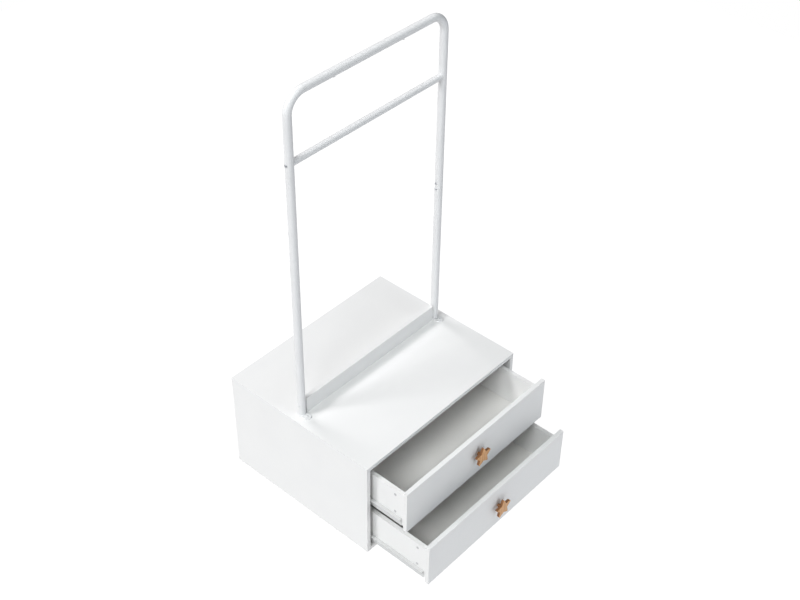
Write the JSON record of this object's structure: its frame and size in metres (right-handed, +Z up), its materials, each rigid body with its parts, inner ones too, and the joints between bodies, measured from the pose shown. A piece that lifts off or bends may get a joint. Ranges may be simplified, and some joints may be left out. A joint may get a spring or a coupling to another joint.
{
  "type": "kids clothing rack",
  "caption": "Low white cabinet with sliding star-knobbed drawers and a tall steel tube hanging rail with a crossbar standing on its top.",
  "frame": {"origin": "on the floor, under the middle of the cabinet's footprint", "axes": "+Z up, +X to the cabinet's right as seen from the front, and the drawers open towards -Y"},
  "size_m": [0.6, 0.7275, 1.304],
  "materials": {
    "white_board": "white melamine on particle board",
    "white_hardboard": "white lacquered hardboard",
    "white_steel": "white powder coat, semi-gloss",
    "zinc_steel": "zinc plated",
    "cast_zinc": "plain cast zinc",
    "nylon": "white nylon",
    "plug_plastic": "dark moulded plastic",
    "dowel_wood": "raw beech",
    "stained_wood": "orange-brown stain, satin"
  },
  "bodies": {
    "cabinet": {"top_panel": "white_board", "left_side_panel": "white_board", "right_side_panel": "white_board", "bottom_panel": "white_board", "back_panel": "white_hardboard", "cabinet_cams": "cast_zinc", "cabinet_cam_bolts": "zinc_steel", "cabinet_dowels": "dowel_wood", "low_board": "white_board", "low_board_bolts": "zinc_steel", "left_upright": "white_steel", "right_upright": "white_steel", "foot_plates": "white_steel", "foot_screws": "zinc_steel", "joint_sleeves": "zinc_steel", "joint_screws": "zinc_steel", "hoop": "white_steel", "bar_studs": "white_steel", "crossbar": "white_steel", "crossbar_plugs": "plug_plastic", "crossbar_screws": "zinc_steel", "upper_left_cabinet_runner": "white_steel", "upper_right_cabinet_runner": "white_steel", "lower_left_cabinet_runner": "white_steel", "lower_right_cabinet_runner": "white_steel", "cabinet_runner_screws": "zinc_steel", "front_roller_pins": "zinc_steel"},
    "upper_drawer": {"upper_drawer_front": "white_board", "upper_drawer_left_side": "white_board", "upper_drawer_right_side": "white_board", "upper_drawer_back": "white_board", "upper_drawer_bottom": "white_hardboard", "upper_drawer_cams": "cast_zinc", "upper_drawer_cam_bolts": "zinc_steel", "upper_drawer_screws": "zinc_steel", "upper_star_knob": "stained_wood", "upper_knob_screw": "zinc_steel", "upper_left_drawer_runner": "white_steel", "upper_right_drawer_runner": "white_steel", "upper_runner_screws": "zinc_steel", "upper_rear_roller_pins": "zinc_steel"},
    "lower_drawer": {"lower_drawer_front": "white_board", "lower_drawer_left_side": "white_board", "lower_drawer_right_side": "white_board", "lower_drawer_back": "white_board", "lower_drawer_bottom": "white_hardboard", "lower_drawer_cams": "cast_zinc", "lower_drawer_cam_bolts": "zinc_steel", "lower_drawer_screws": "zinc_steel", "lower_star_knob": "stained_wood", "lower_knob_screw": "zinc_steel", "lower_left_drawer_runner": "white_steel", "lower_right_drawer_runner": "white_steel", "lower_runner_screws": "zinc_steel", "lower_rear_roller_pins": "zinc_steel"},
    "upper_front_rollers": {"upper_front_rollers": "nylon"},
    "lower_front_rollers": {"lower_front_rollers": "nylon"},
    "upper_rear_rollers": {"upper_rear_rollers": "nylon"},
    "lower_rear_rollers": {"lower_rear_rollers": "nylon"}
  },
  "joints": [
    {"name": "upper_drawer_slide", "type": "slide", "parent": "cabinet", "child": "upper_drawer", "axis": [0, -1, 0], "range_m": [-0.1235, 0.2165]},
    {"name": "lower_drawer_slide", "type": "slide", "parent": "cabinet", "child": "lower_drawer", "axis": [0, -1, 0], "range_m": [-0.2025, 0.1375]},
    {"name": "upper_front_roller_spin", "type": "hinge", "parent": "cabinet", "child": "upper_front_rollers", "pos_m": [0, -0.227, 0.1855], "axis": [1, 0, 0], "range_deg": [-950, 1660]},
    {"name": "upper_rear_roller_spin", "type": "hinge", "parent": "upper_drawer", "child": "upper_rear_rollers", "pos_m": [0, 0.072, 0.1855], "axis": [1, 0, 0], "range_deg": [-950, 1660]},
    {"name": "lower_front_roller_spin", "type": "hinge", "parent": "cabinet", "child": "lower_front_rollers", "pos_m": [0, -0.227, 0.041], "axis": [1, 0, 0], "range_deg": [-1555, 1060]},
    {"name": "lower_rear_roller_spin", "type": "hinge", "parent": "lower_drawer", "child": "lower_rear_rollers", "pos_m": [0, -0.007, 0.041], "axis": [1, 0, 0], "range_deg": [-1555, 1060]}
  ],
  "couplings": [
    {"joint": "upper_front_roller_spin", "follows": "upper_drawer_slide", "rad_per_m": 133.33},
    {"joint": "upper_rear_roller_spin", "follows": "upper_drawer_slide", "rad_per_m": 133.33},
    {"joint": "lower_front_roller_spin", "follows": "lower_drawer_slide", "rad_per_m": 133.33},
    {"joint": "lower_rear_roller_spin", "follows": "lower_drawer_slide", "rad_per_m": 133.33}
  ]
}
